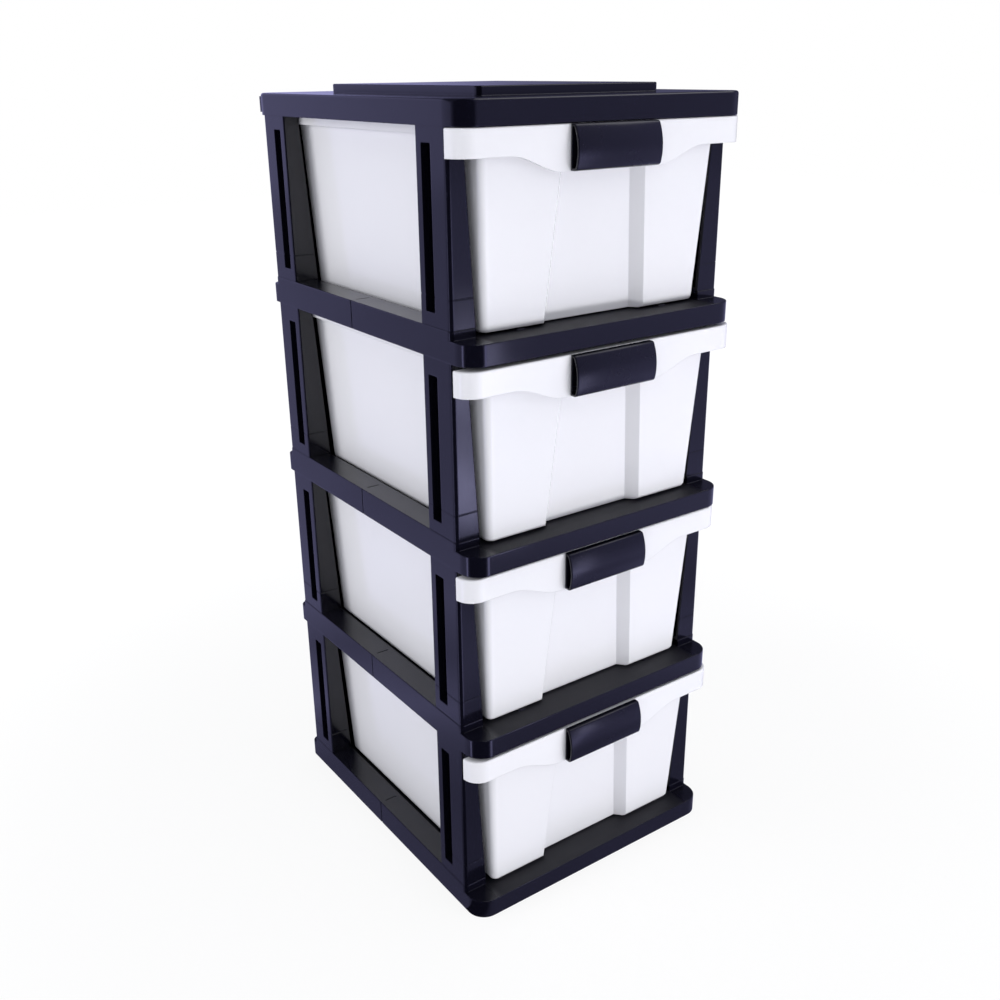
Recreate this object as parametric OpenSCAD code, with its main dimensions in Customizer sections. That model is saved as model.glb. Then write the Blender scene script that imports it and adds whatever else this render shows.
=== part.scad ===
// Letter tray stack: four tapered drawers in a tower of plug-together shelves.
// Each shelf carries four slotted corner posts, and a cover closes the top.
// X runs across, Y runs from the front to the back, Z runs up from the floor.

/* [Frame] */
// Width across the sides of the shelves
frame_w = 300; // [270:1:360]
// Depth from the front posts' front faces to the rear posts' rear faces
frame_d = 325; // [297:1:400]
// Height from one shelf to the next
tier_h = 184.5; // [165:0.5:230]

/* [Shelves] */
// Height of the band that runs round the front and rear lips
lip_h = 18.7; // [17:0.1:24]
// How far the side rails stand above the shelf floor
rail_rise = 7.5; // [5:0.1:12]
// Width of the side rails
rail_w = 24.5; // [21:0.5:28]
// How far the front lip stands ahead of the posts
lip_front = 24; // [20:0.5:33]
// How far the rear lip stands behind the posts
lip_rear = 10; // [9:0.5:16]
// Corner radius of the front lip
lip_front_r = 18.5; // [10:0.5:18.5]
// Corner radius of the rear lip
lip_rear_r = 8; // [4:0.5:9]
// Radius of the shelves' upper outer edges
shelf_edge = 0.8; // [0.3:0.1:2]
// Wall thickness of the shelf skirts
shelf_wall = 2.5; // [2:0.1:4]
// Thickness of the shelf floor
floor_t = 3; // [2:0.1:4]
// Thickness of the ribs under shelves and cover
rib_t = 1.8; // [1.2:0.1:2.5]
// Widest spacing of those ribs
rib_pitch = 62; // [40:1:70]
// How far the ribs end above the underside
rib_gap = 3; // [1:0.5:6]
// Width of the two raised runners that each drawer slides on
runner_w = 8; // [5:0.5:14]
// Height of those runners above the floor
runner_h = 1; // [0.5:0.1:2]
// Distance between the runners' centre lines
runner_span = 160; // [100:1:200]
// Distance from the front of each rail to the joint mark across it
mark_at = 166; // [80:1:200]
// Width of the joint mark
mark_w = 1.6; // [1:0.1:3]
// Depth of the joint mark in the rail's side
mark_deep = 0.8; // [0.4:0.1:1.5]
// Length of the slit that the mark cuts across the rail's top
slit_l = 13; // [8:0.5:15]

/* [Posts] */
// Depth of a post from its front web to its rear web
post_d = 44; // [40:0.5:52]
// How far the posts' outer faces are set in from the shelves' sides
post_inset = 0.5; // [0.3:0.1:1]
// Wall thickness of a post
post_wall = 3; // [2:0.1:4]
// Width of a post's webs at the foot
web_foot = 24.5; // [21:0.5:26]
// Width of a post's webs at the head
web_head = 15; // [14.5:0.5:18]
// Radius of a post's outer corner edge
post_r = 3.5; // [3:0.5:8]
// Radius of its other outer edge
post_edge = 1.5; // [0.5:0.1:2.5]
// Width of the long slot in a post's side
slot_w = 13.5; // [8:0.5:16]
// Height of the slot's foot above the shelf
slot_foot = 11.5; // [6:0.5:20]
// Solid height left above the slot
slot_head = 15.4; // [8:0.1:24]
// Distance from the slot to the post's inner web face
slot_in = 8.5; // [7:0.5:11]
// Radius of the slot's corners
slot_r = 1.2; // [0.5:0.1:4]
// Depth of the blind slot
slot_deep = 10; // [6:0.5:11.5]
// Wall thickness of the pocket behind it
pocket_t = 1.5; // [1:0.1:2]
// Height of the line that marks a post's foot
foot_line = 24.5; // [15:0.5:40]
// Depth of that line
line_deep = 0.5; // [0.3:0.1:1]
// Width of that line
line_w = 1; // [0.6:0.1:2]
// Width of the pegs at a post's foot and head
peg_w = 9; // [6:0.5:9]
// Depth of those pegs from front to back
peg_d = 30; // [16:0.5:32]
// Length of the peg at a post's foot
foot_peg = 10; // [5:0.5:12]
// Length of the peg at a post's head
head_peg = 8; // [5:0.5:8]
// Gap between a peg and the walls of its socket
peg_gap = 0.3; // [0.2:0.05:0.5]
// Gap between a peg's end and the bottom of its socket
peg_end_gap = 0.5; // [0.3:0.1:1]

/* [Cover] */
// How far the cover stands out beyond the shelves' sides
cover_side = 3; // [2.5:0.1:6]
// How far the cover stands ahead of the posts
cover_front = 20.5; // [17:0.5:27]
// How far the cover stands behind the posts
cover_rear = 9.5; // [8:0.5:16]
// Height of the cover's skirt
cover_h = 20; // [17:0.5:26]
// How far the skirt hangs below the posts' heads
cover_drop = 2.8; // [2:0.1:2.8]
// Wall thickness of the cover's skirt
cover_wall = 2.2; // [1.8:0.1:2.5]
// Thickness of the cover's top
cover_t = 3; // [2:0.1:4]
// Corner radius of the cover
cover_r = 20; // [12:0.5:26]
// Radius of the cover's upper edge
cover_edge = 2.5; // [0.5:0.1:3]
// Width of the raised panel on the cover
panel_w = 194; // [140:1:230]
// Depth of the raised panel
panel_d = 247; // [180:1:280]
// Height of the raised panel
panel_h = 7.5; // [4:0.1:12]
// Corner radius of the raised panel
panel_r = 5; // [3:0.5:12]
// Radius of the raised panel's upper edge
panel_edge = 1.2; // [0.5:0.1:2]

/* [Back panels] */
// Thickness of a back panel
back_t = 2.5; // [1.5:0.1:4]
// Gap between a back panel and the posts that hold it
back_gap = 0.3; // [0.2:0.1:1]

/* [Drawers] */
// Gap between a drawer's underside and the runners
slide_gap = 0.5; // [0.3:0.1:1]
// Clearance between a drawer's top and the shelf above
head_gap = 3.3; // [3.3:0.1:10]
// Clearance between a drawer's foot and each side rail
foot_gap = 6.5; // [4:0.5:12]
// Clearance between a drawer's side ledge and each post web
ledge_gap = 1.7; // [1:0.1:3]
// Width of the ledge round a drawer's sides and rear
ledge_w = 6.2; // [3:0.1:8]
// Thickness of that ledge
ledge_t = 2.6; // [2:0.1:4]
// Height of the skirt that hangs from the ledge's edge
skirt_h = 7.6; // [5:0.1:12]
// Thickness of that skirt
skirt_t = 1.8; // [1.2:0.1:2.5]
// Wall thickness of a drawer
wall_t = 2.5; // [1.8:0.1:3.5]
// Thickness of a drawer's bottom
bottom_t = 2.6; // [2:0.1:4]
// How far the foot of the drawer's front stands ahead of the posts' faces
front_out = 0.5; // [0.2:0.1:3]
// How far the drawer's front leans outwards from foot to top
front_lean = 9.6; // [4:0.1:11]
// How far the drawer's rear leans outwards from foot to top
rear_lean = 8; // [3:0.1:12]
// Distance from a drawer's rear ledge to the rear posts' rear faces
rear_gap = 17; // [12:0.5:40]
// Radius of a drawer's front upright edges
edge_r = 6; // [4:0.5:10]
// Radius of a drawer's rear upright edges
rear_r = 10; // [7:0.5:20]
// Radius of a drawer's bottom edges
bottom_r = 3; // [1.5:0.1:5]
// Depth of the recess down the middle of the drawer's front
recess_deep = 10; // [5:0.5:14]
// Width of the recess at the foot
recess_foot = 113; // [90:1:130]
// Width of the recess at the top
recess_top = 86; // [70:1:110]
// How far each side wall of the recess runs inwards as it goes back
recess_run = 9; // [3:0.5:14]

/* [Drawer rims] */
// How far the rim's front face stands ahead of the posts
rim_front = 19.5; // [18:0.5:23]
// How far the rim's ends stand out beyond the shelves' sides
rim_side = 3; // [1:0.5:5]
// Gap between the rim's ends and the posts when a drawer is shut
rim_gap = 2.7; // [1:0.1:4]
// Wall thickness of the rim
rim_t = 2.2; // [1.8:0.1:3]
// Height of the rim at its ends
rim_h = 22.2; // [16:0.1:28]
// Height of the rim in the middle, behind the handle
grip_h = 36.6; // [32:0.1:44]
// Width of the deep middle stretch of the rim
grip_w = 100; // [96:1:120]
// Run of each curve that joins the deep stretch to an end
grip_run = 54; // [25:1:56]
// Radius of the rim's front corners
rim_r = 17; // [14:0.5:20]
// Radius of the rim's upper edge
rim_edge = 1.5; // [0.5:0.1:2]

/* [Handles] */
// Width of a handle
handle_w = 90; // [70:1:94]
// How far the middle of a handle's arched front stands ahead of the rim
handle_out = 10.5; // [8:0.1:14]
// Radius of that arched front
arch_r = 45; // [40:1:80]
// Height of its foremost line as a part of the handle's height
arch_at = 0.41; // [0.35:0.01:0.6]
// Distance from the rim's lower edge up to the handle's lower edge
handle_up = 0.7; // [0:0.1:4]
// Distance from the rim's top down to the handle's top
handle_down = 0.2; // [0:0.1:2]
// Diameter of the two pegs that fix a handle
pin_d = 5; // [4:0.1:6]
// Diameter of the heads on those pegs
pin_head_d = 7; // [6.5:0.1:8]
// Thickness of those heads
pin_head_t = 1.5; // [1:0.1:2]
// Distance between the two pegs
pin_span = 60; // [40:1:64]
// Gap round a peg in its hole
pin_gap = 0.2; // [0.1:0.05:0.3]

/* [How far each drawer stands open] */
// Lowest drawer
out_1 = 4; // [0:0.5:240]
// Second drawer from the floor
out_2 = 0; // [0:0.5:240]
// Third drawer from the floor
out_3 = 4; // [0:0.5:240]
// Highest drawer
out_4 = 0; // [0:0.5:240]

/* [Hidden] */
$fn = 48;
eps = 0.01;

black = "#2b2b3a";
white = "#eeeef2";

half_w = frame_w / 2;
shelf_h = lip_h + rail_rise;
pad_d = post_d + 2 * post_inset;
post_h = tier_h - shelf_h;
slot_h = post_h - slot_foot - slot_head;
outs = [out_1, out_2, out_3, out_4];

// Distance from a post's outer face to its pegs
peg_x = (web_head - peg_w) / 2 + 0.5;

// The drawer's own heights start at its underside.
drawer_z = lip_h + runner_h + slide_gap;
drawer_h = tier_h - drawer_z - head_gap;

// Half widths of the drawer at its foot and top, and of its ledge and rim.
web_at_ledge = web_foot - (web_foot - web_head) * (drawer_z + drawer_h - shelf_h) / post_h;
ledge_half = half_w - post_inset - web_at_ledge - ledge_gap;
top_half = ledge_half - ledge_w;
foot_half = half_w - rail_w - foot_gap;
rim_half = half_w + rim_side;

// Front and rear faces of the drawer, along Y.
foot_front = -front_out;
top_front = -front_out - front_lean;
ledge_rear = frame_d - rear_gap;
top_rear = ledge_rear - ledge_w;
foot_rear = top_rear - rear_lean;

cover_half = half_w + cover_side;
panel_y0 = (frame_d + cover_rear - cover_front - panel_d) / 2;

// The handle's front reach and the row's middle along Y.
crest_y = rim_front + handle_out;
front_reach = max([for (o = outs) o]) + crest_y;
rear_reach = frame_d + max(lip_rear, cover_rear);
mid_y = (rear_reach - front_reach) / 2;

function lerp(a, b, t) = a + (b - a) * t;
function half_at(z) = lerp(foot_half, top_half, z / drawer_h);
function front_at(z) = lerp(foot_front, top_front, z / drawer_h);
function rear_at(z) = lerp(foot_rear, top_rear, z / drawer_h);
function recess_at(z) = lerp(recess_foot, recess_top, z / drawer_h) / 2;

// Lower edge of the rim at x, measured down from the drawer's top.
function rim_low(x) =
    let (t = min(max((abs(x) - grip_w / 2) / grip_run, 0), 1))
    lerp(grip_h, rim_h, (1 - cos(180 * t)) / 2);

// Rectangle from y0 to y1 with its own front and rear corner radii.
module plan(half, y0, y1, front_r, back_r) {
    translate([-half, y0 + front_r])
        square([2 * half, y1 - y0 - front_r - back_r]);
    translate([-half + front_r, y0])
        square([2 * (half - front_r), front_r + eps]);
    translate([-half + back_r, y1 - back_r - eps])
        square([2 * (half - back_r), back_r + eps]);
    for (s = [-1, 1]) {
        translate([s * (half - front_r), y0 + front_r])
            circle(front_r);
        translate([s * (half - back_r), y1 - back_r])
            circle(back_r);
    }
}

// Half of a slab's cross section: w wide, h high, outer upper edge rounded.
module slab_half(w, h, edge) {
    square([w, h - edge]);
    square([w - edge, h]);
    translate([w - edge, h - edge])
        circle(edge);
}

// Slab with a plan like that and a rounded upper edge.
module slab(half, y0, y1, front_r, back_r, h, edge) {
    // Middle stretch, from side to side
    translate([0, y1 - back_r, 0])
        rotate([90, 0, 0])
            linear_extrude(y1 - y0 - front_r - back_r)
                for (s = [0, 1])
                    mirror([s, 0])
                        slab_half(half, h, edge);
    // Front and rear stretches between the corners
    translate([front_r - half, y0 + front_r, 0])
        rotate([90, 0, 90])
            linear_extrude(2 * (half - front_r))
                mirror([1, 0])
                    slab_half(front_r, h, edge);
    translate([back_r - half, y1 - back_r, 0])
        rotate([90, 0, 90])
            linear_extrude(2 * (half - back_r))
                slab_half(back_r, h, edge);
    // Corners
    for (s = [0, 1])
        mirror([s, 0, 0]) {
            translate([half - front_r, y0 + front_r, 0])
                rotate(-90)
                    rotate_extrude(angle = 90)
                        slab_half(front_r, h, edge);
            translate([half - back_r, y1 - back_r, 0])
                rotate_extrude(angle = 90)
                    slab_half(back_r, h, edge);
        }
}

// Repeats its child at the four corners, drawn for the front left one.
module at_corners() {
    for (s = [0, 1], t = [0, 1])
        translate([0, t * frame_d, 0])
            mirror([0, t, 0])
                mirror([s, 0, 0])
                    translate([-half_w, 0, 0])
                        children();
}

// Crossing ribs that fill the space under a plate of the given half width.
module rib_grid(half, y0, y1, z0, z1) {
    nx = ceil(2 * half / rib_pitch);
    ny = ceil((y1 - y0) / rib_pitch);
    for (i = [1 : nx - 1])
        translate([-half + 2 * half * i / nx - rib_t / 2, y0, z0])
            cube([rib_t, y1 - y0, z1 - z0]);
    for (j = [1 : ny - 1])
        translate([-half, y0 + (y1 - y0) * j / ny - rib_t / 2, z0])
            cube([2 * half, rib_t, z1 - z0]);
}

// Socket for a post's peg, in a corner drawn for the front left post.
module peg_socket(depth) {
    translate([
        post_inset + peg_x - peg_gap,
        post_inset + (post_d - peg_d) / 2 - peg_gap,
        0,
    ])
        cube([peg_w + 2 * peg_gap, peg_d + 2 * peg_gap, depth]);
}

// Slab as high as the side rails, with the posts' corners.
module rail_slab() {
    corner = post_r + post_inset;
    slab(half_w, 0, frame_d, corner, corner, shelf_h, shelf_edge);
}

module shelf() {
    color(black)
    difference() {
        union() {
            // Skirt and floor
            difference() {
                slab(half_w, -lip_front, frame_d + lip_rear, lip_front_r, lip_rear_r, lip_h, shelf_edge);
                translate([0, 0, -1])
                    linear_extrude(lip_h - floor_t + 1)
                        plan(
                            half_w - shelf_wall,
                            shelf_wall - lip_front,
                            frame_d + lip_rear - shelf_wall,
                            lip_front_r - shelf_wall,
                            lip_rear_r - shelf_wall
                        );
            }
            rib_grid(half_w - shelf_wall, shelf_wall - lip_front,
                frame_d + lip_rear - shelf_wall, rib_gap, lip_h - floor_t);
            // Side rails, hollow between the solid pads that carry the posts
            difference() {
                rail_slab();
                translate([rail_w - half_w, -1, -1])
                    cube([frame_w - 2 * rail_w, frame_d + 2, shelf_h + 2]);
                for (s = [0, 1])
                    mirror([s, 0, 0])
                        translate([shelf_wall - half_w, pad_d, -1])
                            cube([rail_w - 2 * shelf_wall, frame_d - 2 * pad_d, shelf_h - floor_t + 1]);
            }
            // Runners
            for (s = [-1, 1])
                translate([s * runner_span / 2 - runner_w / 2, foot_front, lip_h - eps])
                    cube([runner_w, ledge_rear - foot_front, runner_h + eps]);
        }
        at_corners() {
            translate([0, 0, shelf_h - foot_peg - peg_end_gap])
                peg_socket(foot_peg + peg_end_gap + 1);
            translate([0, 0, -1])
                peg_socket(head_peg + peg_end_gap + 1);
        }
        // Joint marks across the rails
        for (s = [0, 1])
            mirror([s, 0, 0]) {
                translate([-half_w - 1, mark_at - mark_w / 2, -1])
                    cube([mark_deep + 1, mark_w, shelf_h + 2]);
                translate([(rail_w - slit_l) / 2 - half_w, mark_at - mark_w / 2, shelf_h - mark_deep])
                    cube([slit_l, mark_w, mark_deep + 1]);
            }
    }
}

// Plan of a post, set in by d from its outer faces.
module post_plan(d) {
    outer = max(post_r - d, 0);
    edge = max(post_edge - d, 0);
    translate([d + outer, d])
        square([web_foot - outer, post_d - 2 * d]);
    translate([d, d + outer])
        square([web_foot, post_d - 2 * d - outer - edge]);
    translate([d + edge, d + outer])
        square([web_foot - edge, post_d - 2 * d - outer]);
    if (outer > 0)
        translate([d + outer, d + outer])
            circle(outer);
    if (edge > 0)
        translate([d + edge, post_d - d - edge])
            circle(edge);
}

module slot_face() {
    translate([slot_r, 0])
        square([slot_w - 2 * slot_r, slot_h]);
    translate([0, slot_r])
        square([slot_w, slot_h - 2 * slot_r]);
    for (y = [slot_r, slot_w - slot_r], z = [slot_r, slot_h - slot_r])
        translate([y, z])
            circle(slot_r);
}

// One post: a channel open towards the middle, with sloping web edges.
module post_body() {
    slot_y = post_d - slot_in - slot_w;
    color(black) {
        difference() {
            union() {
                difference() {
                    intersection() {
                        linear_extrude(post_h)
                            post_plan(0);
                        translate([0, post_d + 1, 0])
                            rotate([90, 0, 0])
                                linear_extrude(post_d + 2)
                                    polygon([[-1, 0], [web_foot, 0], [web_head, post_h], [-1, post_h]]);
                    }
                    translate([0, 0, post_wall])
                        linear_extrude(post_h - 2 * post_wall)
                            post_plan(post_wall);
                }
                // Pocket that closes the slot behind
                translate([post_wall / 2, slot_y - pocket_t, slot_foot - pocket_t])
                    cube([
                        slot_deep + pocket_t - post_wall / 2,
                        slot_w + 2 * pocket_t,
                        slot_h + 2 * pocket_t,
                    ]);
            }
            translate([-1, slot_y, slot_foot])
                rotate([90, 0, 90])
                    linear_extrude(slot_deep + 1)
                        slot_face();
            translate([0, 0, foot_line])
                linear_extrude(line_w)
                    difference() {
                        translate([-1, -1])
                            square([web_foot + 2, post_d + 2]);
                        post_plan(line_deep);
                    }
        }
        translate([peg_x, (post_d - peg_d) / 2, -foot_peg])
            cube([peg_w, peg_d, foot_peg + post_wall]);
        translate([peg_x, (post_d - peg_d) / 2, post_h - post_wall])
            cube([peg_w, peg_d, post_wall + head_peg]);
    }
}

// Stands a post on the shelf of a tier, counted from the floor.
module post(tier, right, rear) {
    translate([0, rear * frame_d, (tier - 1) * tier_h + shelf_h])
        mirror([0, rear, 0])
            mirror([right, 0, 0])
                translate([post_inset - half_w, post_inset, 0])
                    post_body();
}

// Panel that closes the back, held in the channels of a tier's rear posts.
module back_panel(tier) {
    edge = half_w - post_inset - max(post_wall + back_gap, post_r);
    inner = half_w - rail_w - back_gap;
    foot = shelf_h + post_wall + back_gap;
    head = tier_h - post_wall - back_gap;
    face = frame_d - post_inset - post_wall - back_gap;
    color(black)
    translate([0, face, (tier - 1) * tier_h])
        rotate([90, 0, 0])
            linear_extrude(back_t) {
                translate([-edge, foot])
                    square([2 * edge, head - foot]);
                translate([-inner, lip_h])
                    square([2 * inner, head - lip_h]);
            }
}

// Flat inset outlines of the cover and of its raised panel.
module cover_outline(inset) {
    r = cover_r - inset;
    plan(cover_half - inset, inset - cover_front, frame_d + cover_rear - inset, r, r);
}

module panel_outline(inset) {
    r = panel_r - inset;
    plan(panel_w / 2 - inset, panel_y0 + inset, panel_y0 + panel_d - inset, r, r);
}

module cover() {
    under = cover_h - cover_t;
    full_h = cover_h + panel_h;
    color(black)
    difference() {
        union() {
            // Top and skirt with the panel raised from them
            difference() {
                union() {
                    slab(cover_half, -cover_front, frame_d + cover_rear, cover_r, cover_r, cover_h, cover_edge);
                    slab(panel_w / 2, panel_y0, panel_y0 + panel_d, panel_r, panel_r, full_h, panel_edge);
                }
                translate([0, 0, -1])
                    linear_extrude(under + 1)
                        cover_outline(cover_wall);
                translate([0, 0, -1])
                    linear_extrude(full_h - cover_t + 1)
                        panel_outline(cover_wall);
            }
            // Ribs
            intersection() {
                rib_grid(cover_half, -cover_front, frame_d + cover_rear,
                    cover_drop + rib_gap, full_h - cover_t + eps);
                union() {
                    linear_extrude(under + eps)
                        cover_outline(cover_wall / 2);
                    linear_extrude(full_h)
                        panel_outline(cover_wall / 2);
                }
            }
            // Blocks that stand on the posts
            translate([0, 0, cover_drop])
                at_corners()
                    translate([cover_wall / 2 - cover_side, 0, 0])
                        cube([rail_w + cover_side - cover_wall / 2, pad_d, under - cover_drop + eps]);
        }
        translate([0, 0, cover_drop - 1])
            at_corners()
                peg_socket(head_peg + peg_end_gap + 1);
    }
}

// Plan of the drawer's body at height z, set in by d.
module tray_plan(z, d) {
    plan(half_at(z) - d, front_at(z) + d, rear_at(z) - d, edge_r, rear_r - d);
}

// A slice of that plan, for a hull.
module tray_slice(z, d) {
    translate([0, 0, z])
        linear_extrude(eps)
            tray_plan(z, d);
}

// The recess in the front at height z, grown by d.
module recess_slice(z, d) {
    a = recess_at(z) + d;
    slope = recess_run / recess_deep;
    back = front_at(z) + recess_deep + d;
    ahead = 2 * front_lean + recess_deep;
    translate([0, 0, z])
        linear_extrude(eps)
            polygon([
                [-a + recess_run, back],
                [a - recess_run, back],
                [a + ahead * slope, front_at(z) + d - ahead],
                [-a - ahead * slope, front_at(z) + d - ahead],
            ]);
}

module recess(d) {
    hull() {
        recess_slice(-1, d);
        recess_slice(drawer_h + 1, d);
    }
}

// Front view of the rim, hung from the drawer's top.
module rim_face() {
    n = 12;
    end = rim_half + 1;
    bend = [for (i = [-n : n]) grip_w / 2 + grip_run * (i + n) / (2 * n)];
    right = [for (x = bend) [x, drawer_h - rim_low(x)]];
    left = [for (i = [len(bend) - 1 : -1 : 0]) [-bend[i], drawer_h - rim_low(bend[i])]];
    polygon(concat(
        [[-end, drawer_h], [-end, drawer_h - rim_h]],
        left,
        right,
        [[end, drawer_h - rim_h], [end, drawer_h]]
    ));
}

module pin_places() {
    for (s = [-1, 1])
        translate([s * pin_span / 2, -rim_front, drawer_h - ledge_t - pin_head_d / 2 - 1])
            rotate([-90, 0, 0])
                children();
}

module drawer_body() {
    color(white)
    difference() {
        union() {
            // Tapered body with the recess down its front
            difference() {
                hull() {
                    tray_slice(0, bottom_r);
                    tray_slice(0.3 * bottom_r, 0.3 * bottom_r);
                    tray_slice(bottom_r, 0);
                    tray_slice(drawer_h - eps, 0);
                }
                recess(0);
            }
            // Ledge round the top, turned down along its edge
            difference() {
                translate([0, 0, drawer_h - skirt_h])
                    linear_extrude(skirt_h)
                        plan(ledge_half, -rim_gap - 1, ledge_rear, 1, rear_r + ledge_w);
                translate([0, 0, drawer_h - skirt_h - 1])
                    linear_extrude(skirt_h + 1 - ledge_t)
                        plan(
                            ledge_half - skirt_t,
                            -rim_gap - 2,
                            ledge_rear - skirt_t,
                            1,
                            rear_r + ledge_w - skirt_t
                        );
            }
            // Rim across the front, hollow below the ledge
            difference() {
                intersection() {
                    translate([0, 0, drawer_h - grip_h - 1])
                        slab(rim_half, -rim_front, rim_front + rim_r, rim_r, rim_r, grip_h + 1, rim_edge);
                    translate([0, -rim_gap, 0])
                        rotate([90, 0, 0])
                            linear_extrude(rim_front)
                                rim_face();
                }
                translate([0, 0, drawer_h - grip_h - 2])
                    linear_extrude(grip_h + 2 - ledge_t)
                        plan(rim_half - rim_t, rim_t - rim_front, rim_front, rim_r - rim_t, 1);
            }
        }
        // Inside, kept clear of the recess by one wall
        difference() {
            hull() {
                tray_slice(bottom_t, wall_t + 1);
                tray_slice(bottom_t + 1, wall_t);
                tray_slice(drawer_h + 1, wall_t);
            }
            recess(wall_t);
        }
        pin_places()
            translate([0, 0, -1])
                cylinder(h = rim_t + 2, d = pin_d + 2 * pin_gap);
    }
}

module drawer(tier) {
    translate([0, -outs[tier - 1], (tier - 1) * tier_h + drawer_z])
        drawer_body();
}

// End view of a handle: a flat back on the rim and an arched front.
module handle_face() {
    low = drawer_h - grip_h + handle_up;
    high = drawer_h - handle_down;
    intersection() {
        translate([-crest_y, low])
            square([handle_out, high - low]);
        translate([arch_r - crest_y, lerp(low, high, arch_at)])
            circle(arch_r, $fn = 144);
    }
}

module handle_body() {
    color(black) {
        translate([-handle_w / 2, 0, 0])
            rotate([90, 0, 90])
                linear_extrude(handle_w)
                    handle_face();
        pin_places() {
            translate([0, 0, -1])
                cylinder(h = rim_t + pin_gap + 1, d = pin_d);
            translate([0, 0, rim_t + pin_gap])
                cylinder(h = pin_head_t, d = pin_head_d);
        }
    }
}

module handle(tier) {
    translate([0, -outs[tier - 1], (tier - 1) * tier_h + drawer_z])
        handle_body();
}

// Moves the whole tower so that its box stands centred on the origin.
module place() {
    translate([0, -mid_y, 0])
        children();
}

place() shelf();  // base
place() translate([0, 0, tier_h]) shelf();  // shelf_2
place() translate([0, 0, 2 * tier_h]) shelf();  // shelf_3
place() translate([0, 0, 3 * tier_h]) shelf();  // shelf_4
place() translate([0, 0, 4 * tier_h - cover_drop]) cover();
place() post(1, 0, 0);  // post_1_front_left
place() post(1, 1, 0);  // post_1_front_right
place() post(1, 0, 1);  // post_1_rear_left
place() post(1, 1, 1);  // post_1_rear_right
place() post(2, 0, 0);  // post_2_front_left
place() post(2, 1, 0);  // post_2_front_right
place() post(2, 0, 1);  // post_2_rear_left
place() post(2, 1, 1);  // post_2_rear_right
place() post(3, 0, 0);  // post_3_front_left
place() post(3, 1, 0);  // post_3_front_right
place() post(3, 0, 1);  // post_3_rear_left
place() post(3, 1, 1);  // post_3_rear_right
place() post(4, 0, 0);  // post_4_front_left
place() post(4, 1, 0);  // post_4_front_right
place() post(4, 0, 1);  // post_4_rear_left
place() post(4, 1, 1);  // post_4_rear_right
place() back_panel(1);  // back_1
place() back_panel(2);  // back_2
place() back_panel(3);  // back_3
place() back_panel(4);  // back_4
place() drawer(1);  // drawer_1
place() drawer(2);  // drawer_2
place() drawer(3);  // drawer_3
place() drawer(4);  // drawer_4
place() handle(1);  // handle_1
place() handle(2);  // handle_2
place() handle(3);  // handle_3
place() handle(4);  // handle_4
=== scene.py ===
# %% [markdown]
# # A letter tray stack with four drawers
# The real object is a tower of glossy black shelves on slotted corner posts.
# Each shelf holds a white drawer with an arched black grip, and a cover closes the top.
# The solids come packed, with their joints. This script dresses them: it rounds the
# moulded edges, gives each plastic its finish, and sets up the floor, lights and camera.

# %% Load the frame
import math

import bmesh
import bpy
from mathutils import Matrix, Vector


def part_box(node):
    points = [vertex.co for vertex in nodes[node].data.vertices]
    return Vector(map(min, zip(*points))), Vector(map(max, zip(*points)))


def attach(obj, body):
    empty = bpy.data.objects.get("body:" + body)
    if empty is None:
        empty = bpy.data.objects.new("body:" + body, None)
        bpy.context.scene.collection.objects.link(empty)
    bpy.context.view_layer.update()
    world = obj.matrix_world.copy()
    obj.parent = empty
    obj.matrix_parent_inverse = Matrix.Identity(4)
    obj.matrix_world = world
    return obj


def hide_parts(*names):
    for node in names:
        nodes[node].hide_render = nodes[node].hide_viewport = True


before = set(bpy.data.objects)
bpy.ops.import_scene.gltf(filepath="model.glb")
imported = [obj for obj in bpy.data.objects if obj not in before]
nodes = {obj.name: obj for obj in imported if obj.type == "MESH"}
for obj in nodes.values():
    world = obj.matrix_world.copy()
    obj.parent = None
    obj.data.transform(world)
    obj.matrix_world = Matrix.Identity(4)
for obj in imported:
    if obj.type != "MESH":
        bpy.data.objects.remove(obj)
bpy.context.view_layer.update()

MM = 0.001

# %% [markdown]
# ## Shader helpers
# A procedural finish is a small sum: some noise, scaled, added to a base value.
# Written with nodes by hand that takes many lines, so one class wraps a socket and
# lets Python's own operators add the Math nodes.

# %% Sockets as numbers
class Wire:
    """A node's output socket that can be added, multiplied and so on."""

    def __init__(self, finish, socket):
        self.finish = finish
        self.socket = socket

    def math(self, operation, a, b):
        return self.finish.node("ShaderNodeMath", {"operation": operation}, {0: a, 1: b})

    def __add__(self, other):
        return self.math("ADD", self, other)

    def __radd__(self, other):
        return self.math("ADD", other, self)

    def __sub__(self, other):
        return self.math("SUBTRACT", self, other)

    def __mul__(self, other):
        return self.math("MULTIPLY", self, other)


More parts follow.
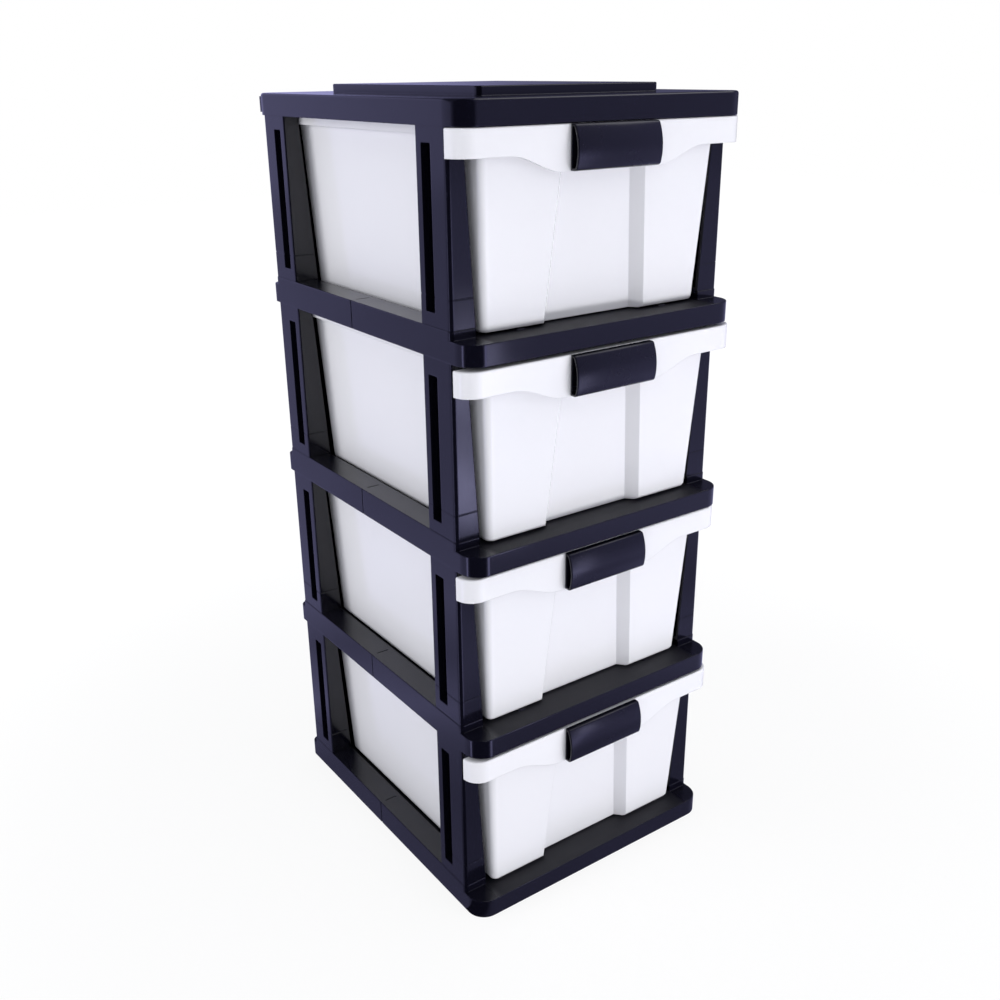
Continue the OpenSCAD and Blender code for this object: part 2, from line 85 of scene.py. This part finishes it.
class Finish:
    """The nodes of a new material or world, and one method that adds any node."""

    def __init__(self, name, kind="materials"):
        self.owner = getattr(bpy.data, kind).new(name)
        self.owner.use_nodes = True
        self.tree = self.owner.node_tree
        self.tree.nodes.clear()

    def node(self, kind, settings=None, inputs=None, output=0):
        made = self.tree.nodes.new(kind)
        for key, value in (settings or {}).items():
            if key == "stops":
                ramp = made.color_ramp
                while len(ramp.elements) < len(value):
                    ramp.elements.new(1.0)
                for element, (place, colour) in zip(ramp.elements, value):
                    element.position = place
                    element.color = colour
            else:
                setattr(made, key, value)
        for key, value in (inputs or {}).items():
            if isinstance(value, Wire):
                self.tree.links.new(value.socket, made.inputs[key])
            else:
                made.inputs[key].default_value = value
        return Wire(self, made.outputs[output]) if len(made.outputs) else made

    def place(self):
        return self.node("ShaderNodeTexCoord", output="Object")

    def noise(self, scale, detail=2.0, where=None):
        settings = {"noise_dimensions": "3D"}
        inputs = {"Vector": where or self.place(), "Scale": scale, "Detail": detail}
        return self.node("ShaderNodeTexNoise", settings, inputs)

    def vector(self, operation, a, b=(0.0, 0.0, 0.0), output=0):
        return self.node("ShaderNodeVectorMath", {"operation": operation}, {0: a, 1: b}, output)

    def part(self, axis, vector):
        return self.node("ShaderNodeSeparateXYZ", None, {"Vector": vector}, axis)

    def ease(self, value, start, end, low, high):
        """Moves smoothly from low to high while value goes from start to end."""
        inputs = {"Value": value, "From Min": start, "From Max": end, "To Min": low, "To Max": high}
        return self.node("ShaderNodeMapRange", {"interpolation_type": "SMOOTHSTEP"}, inputs)

    def glow(self, strength, colour=(1.0, 1.0, 1.0), kind="ShaderNodeEmission"):
        return self.node(kind, None, {"Color": (*colour, 1.0), "Strength": strength})

    def mix(self, factor, a, b):
        return self.node("ShaderNodeMixShader", None, {0: factor, 1: a, 2: b})

    def done(self, shader, output="ShaderNodeOutputMaterial"):
        self.node(output, inputs={"Surface": shader})
        return self.owner


# %% [markdown]
# ## Moulded plastics
# Both plastics are polished injection mouldings. What gives them away as real is
# not their colour but their gloss: a moulded wall is never quite flat, so reflections
# wobble over some centimetres, and handling leaves the gloss a little uneven. No
# moulded edge is sharp either. A Bevel node rounds the shading of every edge, which
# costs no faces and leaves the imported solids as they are. The shelves' floors are
# duller than their rails and sides, since drawers slide over them.

# %% One recipe for every plastic
NEUTRAL_NOISE = 0.5
SHINE_CHANGE = 0.5
RAIL_SHARE = 0.25


def moulded_plastic(name, colour, gloss, wobble, grain, edge, worn=0.0):
    """A glossy plastic. Colour is a pair that the surface drifts between.

    Gloss is the mean roughness. Worn is added to it on floors, and less on rails.
    Wobble and grain are bump heights, and edge is the radius of the edges.
    """
    f = Finish(name)
    one, other = colour
    base = f.node(
        "ShaderNodeMix",
        {"data_type": "RGBA"},
        {"Factor": f.noise(9.0, 3.0), 6: (*one, 1.0), 7: (*other, 1.0)},
        output=2,
    )
    uneven = f.noise(30.0, 4.0)
    upwards = f.part("Z", f.node("ShaderNodeNewGeometry", output="True Normal"))
    sideways = f.node("ShaderNodeMath", {"operation": "ABSOLUTE"}, {0: f.part("X", f.place())})
    on_floor = f.ease(sideways, 120 * MM, 128 * MM, 1.0, RAIL_SHARE)
    mean = gloss + f.ease(upwards, 0.7, 0.95, 0.0, worn) * on_floor
    height = f.noise(16.0, 1.0) * wobble + f.noise(900.0, 2.0) * grain
    rounded = f.node("ShaderNodeBevel", {"samples": 6}, {"Radius": edge})
    bump = {"Height": height, "Strength": 1.0, "Distance": 1.0, "Normal": rounded}
    shader = f.node(
        "ShaderNodeBsdfPrincipled",
        None,
        {
            "Base Color": base,
            "Roughness": mean + (uneven - NEUTRAL_NOISE) * (gloss * SHINE_CHANGE),
            "Normal": f.node("ShaderNodeBump", None, bump),
            "IOR": 1.5,
        },
    )
    return f.done(shader)


# %% [markdown]
# The frame's black is a blue one, and nearly all of its brightness is mirrored room.
# The back panels are duller, the grips a little lighter, and the drawers' white has
# a touch of blue.

# %% The plastics
POLISHED = {"gloss": 0.13, "wobble": 0.22 * MM, "grain": 0.002 * MM, "edge": 1.1 * MM}
FRAME_BLACK = ((0.0026, 0.0025, 0.0062), (0.0034, 0.0032, 0.0080))
BACK_BLACK = ((0.0026, 0.0025, 0.0055), (0.0034, 0.0032, 0.0070))
GRIP_BLACK = ((0.0030, 0.0028, 0.0080), (0.0040, 0.0037, 0.0100))
DRAWER_WHITE = ((0.83, 0.83, 0.87), (0.85, 0.84, 0.88))

black_shelf = moulded_plastic("black_shelf", FRAME_BLACK, worn=0.5, **POLISHED)
black_cover = moulded_plastic("black_cover", FRAME_BLACK, worn=0.02, **POLISHED)
black_post = moulded_plastic("black_post", FRAME_BLACK, **POLISHED)
black_back = moulded_plastic("black_back", BACK_BLACK, 0.35, 0.1 * MM, 0.02 * MM, 0.6 * MM)
black_grip = moulded_plastic("black_grip", GRIP_BLACK, 0.26, 0.1 * MM, 0.004 * MM, 1.2 * MM)
white_drawer = moulded_plastic(
    "white_drawer", DRAWER_WHITE, 0.16, 0.1 * MM, 0.001 * MM, 1.2 * MM)
for made in (black_shelf, black_cover, black_post, black_back, black_grip, white_drawer):
    print(made.name, "from", len(made.node_tree.nodes), "nodes")

# %% [markdown]
# The first word of a piece's name says what the piece is, and so which plastic it
# takes. The plain look that it was packed with comes off first.

# %% Dress the solids
def dress(node, material):
    slots = nodes[node].data.materials
    slots.clear()
    slots.append(material)


PLASTICS = {
    "post": black_post,
    "back": black_back,
    "drawer": white_drawer,
    "handle": black_grip,
    "cover": black_cover,
    "shelf": black_shelf,
    "base": black_shelf,
}
for name in nodes:
    dress(name, PLASTICS[name.split("_")[0]])
print("dressed", len(nodes), "solids")

# %% [markdown]
# A new piece starts as a bmesh, which is a mesh that can be edited freely, and
# becomes an object with its material in one place.

# %% Add a new piece
def add_object(name, bm, material):
    mesh = bpy.data.meshes.new(name)
    bm.to_mesh(mesh)
    bm.free()
    mesh.materials.append(material)
    made = bpy.data.objects.new(name, mesh)
    bpy.context.scene.collection.objects.link(made)
    return made


# %% [markdown]
# ## Grips
# A packed grip has sharp edges, but the photograph shows soft ones, with a bright
# line along them. So each grip is modelled again at its packed place and size: its
# end outline is drawn as an arch, extruded across, and then bevelled, most at the
# lower front where the fingers go. Two headed pegs hold it to the drawer's rim.

# %% The grips' sizes
ARCH_RADIUS = 45 * MM
ARCH_STEPS = 10
CREST = 0.41  # the arch's foremost line, as a share of the grip's height
PLATE = 10.5 * MM
LOW_BEVEL = 3.2 * MM
TOP_BEVEL = 1.8 * MM
END_BEVEL = 0.7 * MM
WALL = 1.3 * MM
POCKET = 8 * MM
TAPER = 0.05 * MM
PEG_PLACES = (-30 * MM, 30 * MM)
PEG_DROP = 6.9 * MM
# Radius, near end and far end of a peg's shank and head, from the grip's flat back
PEG_PARTS = ((2.5 * MM, -1.0 * MM, 2.4 * MM), (3.5 * MM, 2.4 * MM, 3.9 * MM))
SAME = 1e-6  # metres
print("arch of radius", round(ARCH_RADIUS / MM), "mm,", PLATE / MM, "mm front to back")

# %% [markdown]
# The arch could be a stretched cylinder, but then its back and its bevels would have
# to be cut. An outline that is drawn out across keeps every edge where it is known,
# and each bevel then picks its edges by where they lie.

# %% Outline and bevels
def grip_outline(front, low, high):
    """Points in (y, z): up the arched front, then down the flat back."""
    crest_z = low + CREST * (high - low)
    start = math.asin((low - crest_z) / ARCH_RADIUS)
    stop = math.asin((high - crest_z) / ARCH_RADIUS)
    outline = []
    for i in range(ARCH_STEPS + 1):
        angle = start + (stop - start) * i / ARCH_STEPS
        y = front + ARCH_RADIUS * (1 - math.cos(angle))
        outline.append((y, crest_z + ARCH_RADIUS * math.sin(angle)))
    return outline + [(front + PLATE, high), (front + PLATE, low)]


def bevel_where(bm, keep, radius, segments):
    """Bevels the edges whose two ends pass keep, and says how many there were."""
    edges = [edge for edge in bm.edges if keep(*(vert.co for vert in edge.verts))]
    bmesh.ops.bevel(bm, geom=edges, offset=radius, offset_type="OFFSET", segments=segments,
        profile=0.5, affect="EDGES", material=-1, clamp_overlap=True)
    return len(edges)


def arch_block(bm, half, outline):
    """The outline drawn out across the grip, with its long and its end edges rounded."""
    end = bm.faces.new([bm.verts.new((-half, y, z)) for y, z in outline])
    grown = bmesh.ops.extrude_face_region(bm, geom=[end])["geom"]
    moved = [item for item in grown if isinstance(item, bmesh.types.BMVert)]
    bmesh.ops.translate(bm, verts=moved, vec=(2 * half, 0, 0))

    def along(point):
        return lambda a, b: abs(a.x - b.x) > half and (Vector(a.yz) - Vector(point)).length < SAME

    bevelled = bevel_where(bm, along(outline[0]), LOW_BEVEL, 5)
    bevelled += bevel_where(bm, along(outline[ARCH_STEPS]), TOP_BEVEL, 4)
    bevelled += bevel_where(bm, lambda a, b: abs(a.x - b.x) < SAME, END_BEVEL, 3)
    return bevelled


# %% [markdown]
# In the photograph the left end of each grip is a dark bow, because the arch is a
# shell and its ends are open. Two insets leave a thin wall round each end, and the
# face inside it is pushed in.

# %% Open ends and pegs
def open_ends(bm):
    ends = [face for face in bm.faces if abs(face.normal.x) > 0.999 and len(face.verts) > 8]
    bmesh.ops.inset_region(bm, faces=ends, thickness=WALL, depth=0.0, use_even_offset=True)
    bmesh.ops.inset_region(bm, faces=ends, thickness=TAPER, depth=0.0)
    for face in ends:
        inwards = -math.copysign(POCKET, face.calc_center_median().x)
        bmesh.ops.translate(bm, verts=face.verts, vec=(inwards, 0, 0))


def add_pegs(bm, back, z):
    """Pegs that go through the rim, each with a head behind it."""
    lie_down = Matrix.Rotation(math.pi / 2, 4, "X")
    for x in PEG_PLACES:
        for radius, near, far in PEG_PARTS:
            place = Matrix.Translation((x, back + (near + far) / 2, z))
            bmesh.ops.create_cone(bm, cap_ends=True, segments=32, radius1=radius, radius2=radius,
                depth=far - near, matrix=place @ lie_down)


# %% [markdown]
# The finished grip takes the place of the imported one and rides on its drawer.

# %% Model the grips
def make_grip(node, body):
    lowest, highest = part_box(node)
    front, low, high = lowest.y, lowest.z, highest.z
    bm = bmesh.new()
    bevelled = arch_block(bm, highest.x, grip_outline(front, low, high))
    open_ends(bm)
    add_pegs(bm, front + PLATE, high - PEG_DROP)
    bmesh.ops.recalc_face_normals(bm, faces=bm.faces)
    grip = add_object(node + "_grip", bm, black_grip)
    grip.data.shade_smooth()
    grip.data.set_sharp_from_angle(angle=math.radians(32))
    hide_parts(node)
    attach(grip, body)
    print(node, "grip", len(grip.data.polygons), "faces,", bevelled, "edges bevelled,",
        [round(size / MM, 1) for size in grip.dimensions], "mm")


for tier in (1, 2, 3, 4):
    make_grip(f"handle_{tier}", f"drawer_unit_{tier}")

# %% [markdown]
# ## Stage
# The photograph is a cut-out on white. To the camera, the floor and the world are
# plain white, with a faint shadow round the foot. Black gloss shows the room round
# it instead: its sides mirror the floor behind on the left, its fronts the floor
# ahead on the right, and every rounded corner mirrors the dark side of the room
# where the camera stands, as a dark upright band. Floor and world therefore have a
# second look, for reflections alone, with that dark sector in it.

# %% The dark sector
CORNER = (-0.15, -0.15, 0.0)  # the tower's near corner, on the floor
CAMERA_SIDE = (-0.55, -0.835, 0.0)  # from that corner to the camera, level
MIRRORED = (0.96, 0.94, 1.75)  # the colour of what black plastic mirrors
DARK = 0.05
DARK_EDGE = (0.5, 0.76)  # cosines between which the light falls off


def towards_camera(f, level_direction):
    """The cosine between a level direction and the way to the camera."""
    return f.vector("DOT_PRODUCT", level_direction, CAMERA_SIDE, "Value")


def lit_share(f, level_direction):
    """1 round most of the room, and near 0 towards the camera."""
    return f.ease(towards_camera(f, level_direction), *DARK_EDGE, 1.0, DARK)


# %% [markdown]
# The camera sees a glowing floor, so that the picture's edges are white. Close to
# the tower about a sixth of it is matt, which is enough to hold a faint shadow. A
# reflection sees rings of light and shade instead, since a real floor is shaded near
# the tower and patchy farther out. On either side of the dark sector lies a bright
# strip. In this view only rounded corners mirror it, as a thin upright line at the
# end of each lip. A picture of a floor would need a file, and these rings need none.

# %% Floor
FLOOR_HALF = 6.0
FLOOR_WHITE = (0.86, 0.86, 0.87, 1.0)
GLOW_WHITE = 1.04
GLOW_AT_TOWER = 0.84  # the glow's share of what the camera sees
GLOW_SPREAD = (0.4, 1.1)  # metres from the middle
FRONT_REACH = 0.62  # below 1, so in front of the tower the rings lie wider apart
RAMP_END = 2.0  # metres from the middle, behind the tower
RINGS = [(0.06, 0.19), (0.1, 0.16), (0.15, 0.27), (0.175, 0.42), (0.25, 0.24),
    (0.335, 0.46), (0.5, 0.36), (0.64, 0.34), (1.0, 0.36)]
STRIP = 1.6
STRIP_FROM = (0.44, 0.48)  # the strip grows brighter between these cosines
STRIP_TO = (0.55, 0.60)  # and fades between these
STRIP_BEYOND = (0.3, 0.5)  # metres from the middle where it begins


def seen_floor(f, away):
    camera_ray = f.node("ShaderNodeLightPath", output="Is Camera Ray")
    matt = f.node("ShaderNodeBsdfDiffuse", None, {"Color": FLOOR_WHITE})
    cover = camera_ray * f.ease(away, *GLOW_SPREAD, GLOW_AT_TOWER, 1.0)
    return f.mix(cover, matt, f.glow(GLOW_WHITE))


def mirrored_floor(f, away):
    reach = away * f.ease(f.part("Y", f.place()), -0.3, 0.3, FRONT_REACH, 1.0)
    stops = {"stops": [(at, (grey, grey, grey, 1.0)) for at, grey in RINGS]}
    level = f.node("ShaderNodeValToRGB", stops, {"Fac": reach * (1 / RAMP_END)})
    cloudy = 0.75 + f.noise(2.5, 2.0) * 0.5
    outwards = f.vector("NORMALIZE", f.vector("SUBTRACT", f.place(), CORNER))
    ahead = towards_camera(f, outwards)
    beside = f.ease(ahead, *STRIP_FROM, 0.0, 1.0) * f.ease(ahead, *STRIP_TO, 1.0, 0.0)
    strip = beside * f.ease(away, *STRIP_BEYOND, 0.0, STRIP)
    return f.glow(level * cloudy * lit_share(f, outwards) + strip, MIRRORED)


def make_floor():
    f = Finish("floor_white")
    glossy_ray = f.node("ShaderNodeLightPath", output="Is Glossy Ray")
    away = f.vector("LENGTH", f.place(), output="Value")
    material = f.done(f.mix(glossy_ray, seen_floor(f, away), mirrored_floor(f, away)))
    bm = bmesh.new()
    bmesh.ops.create_grid(bm, x_segments=1, y_segments=1, size=FLOOR_HALF)
    add_object("floor", bm, material)
    print("floor", 2 * FLOOR_HALF, "m across, mirrored in", len(RINGS), "rings")


make_floor()

# %% [markdown]
# The world does three jobs. To the camera it is white, to a matt surface it is an
# even, faintly blue light, and to a glossy one it is a dim room with a bright wall
# at the rear left, which the upper part of the tower's side mirrors. A photographed
# room could do the same, but it would need a picture file.

# %% World
DAYLIGHT = 0.62
DAYLIGHT_COLOUR = (0.93, 0.95, 1.0)
ROOM_WALL = 0.42
ROOM_FRONT = 0.27
ROOM_REAR = 0.10


def make_world():
    f = Finish("studio", "worlds")
    background = "ShaderNodeBackground"
    glossy_ray = f.node("ShaderNodeLightPath", output="Is Glossy Ray")
    camera_ray = f.node("ShaderNodeLightPath", output="Is Camera Ray")
    direction = f.node("ShaderNodeTexCoord", output="Generated")
    across, deep, high = (f.part(axis, direction) for axis in "XYZ")
    to_wall = deep * 0.9 - across * 0.43 - high * 0.6
    wall = f.ease(to_wall, 0.36, 0.62, 0.0, ROOM_WALL)
    room = f.ease(deep, -0.2, 0.2, ROOM_FRONT, ROOM_REAR)
    level_way = f.vector("NORMALIZE", f.vector("MULTIPLY", direction, (1.0, 1.0, 0.0)))
    mirrored = f.glow((wall + room) * lit_share(f, level_way), MIRRORED, background)
    plain = f.glow(DAYLIGHT, DAYLIGHT_COLOUR, background)
    unseen = f.mix(glossy_ray, plain, mirrored)
    seen = f.mix(camera_ray, unseen, f.glow(1.0, kind=background))
    bpy.context.scene.world = f.done(seen, "ShaderNodeOutputWorld")
    print("world lights at", DAYLIGHT)


make_world()

# %% [markdown]
# ## Lights
# The world gives the even part of the light, and four softboxes the rest. One at the
# front right and a low one in front lift the drawers' fronts, and one hangs above. The
# one on the left stands behind the fronts, so it lights the drawers' sides and leaves
# their front recesses soft. Only the top one is mirrored, since the grips and the
# cover's corner show no lamp in the photograph.

# %% Softboxes
MIDDLE = (0.0, 0.0, 0.38)
FOOT = (0.0, 0.0, 0.05)


def softbox(name, place, size, power, target=MIDDLE, mirrored=False):
    data = bpy.data.lights.new(name, "AREA")
    data.shape = "RECTANGLE"
    data.size, data.size_y = size
    data.energy = power
    lamp = bpy.data.objects.new(name, data)
    lamp.location = place
    aim = Vector(target) - Vector(place)
    lamp.rotation_euler = aim.to_track_quat("-Z", "Y").to_euler()
    lamp.visible_glossy = mirrored
    bpy.context.scene.collection.objects.link(lamp)
    print(name, power, "W,", round(aim.length, 2), "m away")


softbox("key", (1.6, -2.6, 1.9), (1.6, 1.6), 10.0)
softbox("low", (0.5, -1.9, 0.1), (1.2, 0.2), 15.0, target=FOOT)
softbox("top", (1.4, -0.5, 2.5), (1.4, 1.4), 9.0, mirrored=True)
softbox("fill", (-2.8, 1.0, 1.0), (1.2, 1.8), 36.0)

# %% [markdown]
# ## Reflector card
# In the photograph the near front post of the third tier, and the foot of the one
# above it, mirror something narrow and bright that stands ahead of the tower. A card
# that only reflections see stands in for it. It is dimmer towards its top and uneven,
# and so is its image.

# %% Reflector card
CARD_WIDTH = 0.054
CARD_HEIGHT = 0.35
CARD_PLACE = (0.19, -0.65, 0.325)
CARD_COLOUR = (0.97, 0.96, 1.55)
CARD_LOW = 3.4
CARD_HIGH = 1.2
CARD_FADE = (0.36, 0.47)  # metres above the floor


def make_card():
    f = Finish("card_glow")
    high = f.part("Z", f.place())
    uneven = f.ease(f.noise(11.0, 2.0), 0.35, 0.65, 0.6, 1.25)
    strength = f.ease(high, *CARD_FADE, CARD_LOW, CARD_HIGH) * uneven
    material = f.done(f.glow(strength, CARD_COLOUR))
    bm = bmesh.new()
    bmesh.ops.create_grid(bm, x_segments=1, y_segments=1, size=0.5)
    bmesh.ops.rotate(bm, verts=bm.verts, matrix=Matrix.Rotation(math.pi / 2, 3, "X"))
    bmesh.ops.scale(bm, verts=bm.verts, vec=(CARD_WIDTH, 1.0, CARD_HEIGHT))
    bmesh.ops.translate(bm, verts=bm.verts, vec=CARD_PLACE)
    card = add_object("card", bm, material)
    card.visible_camera = False
    card.visible_diffuse = False
    card.visible_shadow = False
    print("card", [round(size / MM) for size in card.dimensions], "mm")


make_card()

# %% [markdown]
# ## Camera
# The camera was fitted to edges of the photograph: it looks from the front left,
# a little above the cover, and tilts down, so lines that stand upright run together
# towards the foot.

# %% The photograph's view
SENSOR = 36.0  # millimetres
FOCAL_SHARE = 1.09227  # the focal length, as a share of the picture's width
CAMERA_PLACE = (-0.615684, -0.872525, 0.776093)
YAW, PITCH, ROLL = -0.617337, -0.377430, -0.010431

camera_data = bpy.data.cameras.new("camera")
camera_data.sensor_width = SENSOR
camera_data.lens = FOCAL_SHARE * SENSOR
camera_data.clip_start = 0.05
camera = bpy.data.objects.new("camera", camera_data)
turn = Matrix.Rotation(YAW, 4, "Z")
tilt = Matrix.Rotation(math.pi / 2 + PITCH, 4, "X")
roll = Matrix.Rotation(ROLL, 4, "Z")
camera.matrix_world = Matrix.Translation(CAMERA_PLACE) @ turn @ tilt @ roll
bpy.context.scene.collection.objects.link(camera)
bpy.context.scene.camera = camera
bpy.context.scene.view_settings.view_transform = "Standard"
print("lens", round(camera_data.lens, 1), "mm")
